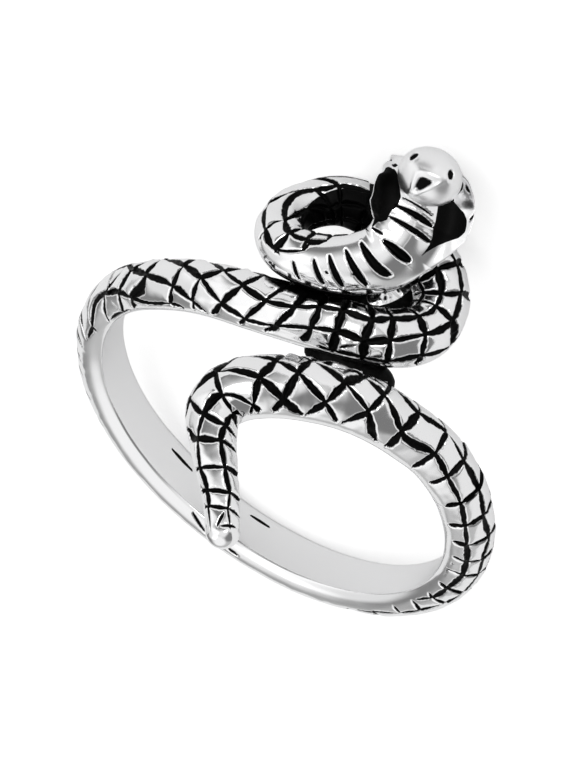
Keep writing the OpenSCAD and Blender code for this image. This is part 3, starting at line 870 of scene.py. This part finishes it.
# The stretches of the snake that are one mesh each: name, first and last row, steps round the scales
# and round the smooth side, and which ends are the snake's own
STRETCHES = [
    ("tail", 0, 9.3, 84, 60, (True, False)),
    ("band", 9.3, 15.2, 76, 64, (False, False)),
    ("shoulder", 15.2, 24.5, 84, 60, (False, False)),
    ("coil", 24.5, 32.6, 84, 60, (False, False)),
    ("hood", 32.6, LAST, 160, 160, (False, True)),
]


class SNAKE_OT_body(bpy.types.Operator):
    """Makes the engraved body of the snake, stretch by stretch, from the tail to the hood"""

    bl_idname = "snake.body"
    bl_label = "Body and hood"

    def execute(self, context):
        sizes, colours = plain_sizes(context), context.scene.snake_colours
        line = Line(sizes.bore / 2)
        for name, *stretch in STRETCHES:
            dress(body_piece(name, line, sizes, *stretch), silver_material(colours))
        return {"FINISHED"}


class SNAKE_OT_head(bpy.types.Operator):
    """Makes the polished head with its eyes and mouth"""

    bl_idname = "snake.head"
    bl_label = "Head"

    def execute(self, context):
        satin = silver_material(context.scene.snake_colours, "satin silver", SATIN)
        dress(head_piece(plain_sizes(context)), satin)
        return {"FINISHED"}


class SNAKE_OT_crevices(bpy.types.Operator):
    """Makes the blackened metal that joins the tail to the body and fills the right loop"""

    bl_idname = "snake.crevices"
    bl_label = "Crevices"

    def execute(self, context):
        sizes = plain_sizes(context)
        for piece in (web_piece(sizes), core_piece(sizes)):
            dress(piece, silver_material(context.scene.snake_colours))
        return {"FINISHED"}


# The photograph's view: directions to the right of the picture, up it and towards the viewer, and the
# point at its middle, from the middle of the finger hole
VIEW_RIGHT = Vector((0.8644, 0.1526, -0.4791))
VIEW_UP = Vector((-0.4220, 0.7382, -0.5262))
VIEW_TOWARD = Vector((0.2734, 0.6571, 0.7025))
AIM_RIGHT, AIM_UP = 0.149 * MM, 2.166 * MM
# Pixels on the picture's longer side and to a millimetre, and the width of the camera's sensor
LONG_SIDE, PIXELS_PER_MM, SENSOR = 768, 23.43, 36


def camera(stage):
    """A long lens far enough off that a millimetre at the ring's middle covers its share of the picture."""
    data = bpy.data.cameras.new("camera")
    data.sensor_width, data.lens = SENSOR, stage.lens
    data.clip_start, data.clip_end = 0.01, 20.0
    away = LONG_SIDE / PIXELS_PER_MM * MM * stage.lens / SENSOR
    made = in_scene("camera", data)
    turn = Matrix((VIEW_RIGHT, VIEW_UP, VIEW_TOWARD)).transposed().to_4x4()
    aim = AIM_RIGHT * VIEW_RIGHT + AIM_UP * VIEW_UP
    made.matrix_world = Matrix.Translation(aim + away * VIEW_TOWARD) @ turn
    bpy.context.scene.camera = made


# Soft panels of light round the ring: direction, cosine of the angle from there to the rim, softness of
# the rim, also as a cosine, and brightness added to the room's
PANELS = [
    ((0.27, 0.65, 0.71), 0.8, 0.12, 0.35), ((-0.75, 0.1, 0.65), 0.72, 0.1, 0.55),
    ((0.1, -0.55, 0.83), 0.8, 0.1, 0.45), ((0.95, 0.05, 0.3), 0.86, 0.08, -0.3),
    ((-0.35, 0.9, 0.2), 0.88, 0.08, -0.3), ((-0.85, -0.45, 0.25), 0.75, 0.2, -0.28),
]


def room_light(stage):
    """The room: one even light with brighter and darker panels in it."""
    world = bpy.data.worlds.new("studio")
    bpy.context.scene.world = world
    tree = empty_tree(world)
    looked = node(tree, "TexCoord").outputs["Generated"]
    total = stage.room
    for direction, rim, softness, brightness in PANELS:
        facing = node(tree, "VectorMath", operation="DOT_PRODUCT", inputs={
            0: looked, 1: Vector(direction).normalized(),
        })
        step = smooth_step(tree, facing.outputs["Value"], rim - softness, rim + softness, brightness)
        total = maths(tree, "ADD", step, total)
    back = node(tree, "Background", inputs={"Color": (1, 1, 1, 1), "Strength": total})
    node(tree, "OutputWorld", inputs={"Surface": back.outputs[0]})


# Half the floor's side, in metres
FLOOR_REACH = 3


def floor(stage, colours):
    """A plain pale floor under the ring, a little brighter where the camera sees it directly."""
    sides = ((-1, -1), (1, -1), (1, 1), (-1, 1))
    corners = [(x * FLOOR_REACH, y * FLOOR_REACH, CAD_BOX[0].z) for x, y in sides]
    data = bpy.data.meshes.new("floor")
    data.from_pydata(corners, [], [(0, 1, 2, 3)])
    made = in_scene("floor", data)
    paint = bpy.data.materials.new("pale floor")
    tree = empty_tree(paint)
    matt = node(tree, "BsdfDiffuse", inputs={"Color": (*colours.floor, 1)})
    glow = node(tree, "Emission", inputs={"Color": (1, 1, 1, 1), "Strength": stage.floor_lift})
    seen = node(tree, "LightPath").outputs["Is Camera Ray"]
    lift = node(tree, "MixShader", inputs={0: seen, 2: glow.outputs[0]})
    both = node(tree, "AddShader", inputs={0: matt.outputs[0], 1: lift.outputs[0]})
    node(tree, "OutputMaterial", inputs={"Surface": both.outputs[0]})
    data.materials.append(paint)


def key_light(stage):
    """A soft panel on the camera's side, a little to its right and above it."""
    data = bpy.data.lights.new("key panel", "AREA")
    data.shape, data.size, data.energy = "DISK", stage.key_size, stage.key_power
    made = in_scene("key panel", data)
    made.location = Vector(stage.key_from).normalized() * stage.key_distance
    made.rotation_mode = "QUATERNION"
    made.rotation_quaternion = made.location.to_track_quat("Z", "Y")
    made.visible_camera = False


class SnakeStage(bpy.types.PropertyGroup):
    lens: amount("Lens", "Focal length", 1200, "CAMERA")
    room: share("Room", "Brightness of the room round the ring", 0.5)
    floor_lift: share("Floor lift", "Light added to the floor as the camera sees it", 0.42)
    key_power: amount("Key power", "Power of the key panel", 3, "POWER")
    key_size: amount("Key size", "Width of the key panel", 500)
    key_distance: amount("Key distance", "Distance of the key panel", 1200)
    key_from: triple("Key direction", "From the ring to the key panel", (1.06, 2.4, 1.2), "DIRECTION")


class SNAKE_OT_stage(bpy.types.Operator):
    """Sets the floor, the light and the camera"""

    bl_idname = "snake.stage"
    bl_label = "Stage"

    def execute(self, context):
        stage, colours = context.scene.snake_stage, context.scene.snake_colours
        floor(stage, colours)
        room_light(stage)
        key_light(stage)
        camera(stage)
        context.scene.view_settings.view_transform = "Standard"
        return {"FINISHED"}


class SNAKE_PT_panel(bpy.types.Panel):
    bl_label = "Snake ring"
    bl_idname = "SNAKE_PT_panel"
    bl_space_type = "VIEW_3D"
    bl_region_type = "UI"
    bl_category = "Snake ring"

    def draw(self, context):
        for name, group in GROUPS.items():
            for key in group.__annotations__:
                self.layout.prop(getattr(context.scene, name), key)
        for operator in OPERATORS:
            self.layout.operator(operator.bl_idname)


GROUPS = {"snake_sizes": SnakeSizes, "snake_colours": SnakeColours, "snake_stage": SnakeStage}
OPERATORS = (SNAKE_OT_body, SNAKE_OT_head, SNAKE_OT_crevices, SNAKE_OT_stage)
CLASSES = (*GROUPS.values(), *OPERATORS, SNAKE_PT_panel)


def register():
    for cls in CLASSES:
        bpy.utils.register_class(cls)
    for name, group in GROUPS.items():
        setattr(bpy.types.Scene, name, PointerProperty(type=group))


def unregister():
    for name in GROUPS:
        delattr(bpy.types.Scene, name)
    for cls in reversed(CLASSES):
        bpy.utils.unregister_class(cls)


def main():
    register()
    bpy.ops.snake.body()
    bpy.ops.snake.head()
    bpy.ops.snake.crevices()
    bpy.ops.snake.stage()


if __name__ == "__main__":
    main()
